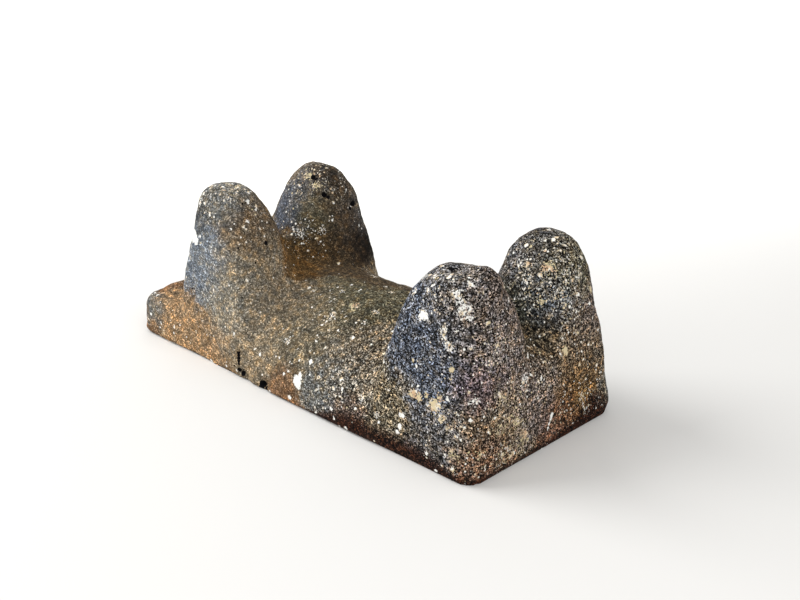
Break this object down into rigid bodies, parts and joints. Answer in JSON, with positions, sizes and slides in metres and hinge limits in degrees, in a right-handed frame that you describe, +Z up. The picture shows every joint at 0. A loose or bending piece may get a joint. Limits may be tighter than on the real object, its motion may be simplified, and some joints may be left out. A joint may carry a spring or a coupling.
{
  "type": "grinding stone",
  "caption": "Carved stone grinding slab with tapering feet, lying on its flat working face with the feet upwards, worn and spotted with lichen.",
  "frame": {"origin": "middle of the flat working face that the stone lies on", "axes": "+Z up, +X along the stone towards the end whose feet stand flush with it, +Y across"},
  "size_m": [0.3446, 0.1529, 0.1315],
  "materials": {
    "stone": "rough, weathered, with lichen spots"
  },
  "bodies": {
    "root": {"grinding_stone": "stone"}
  },
  "joints": []
}
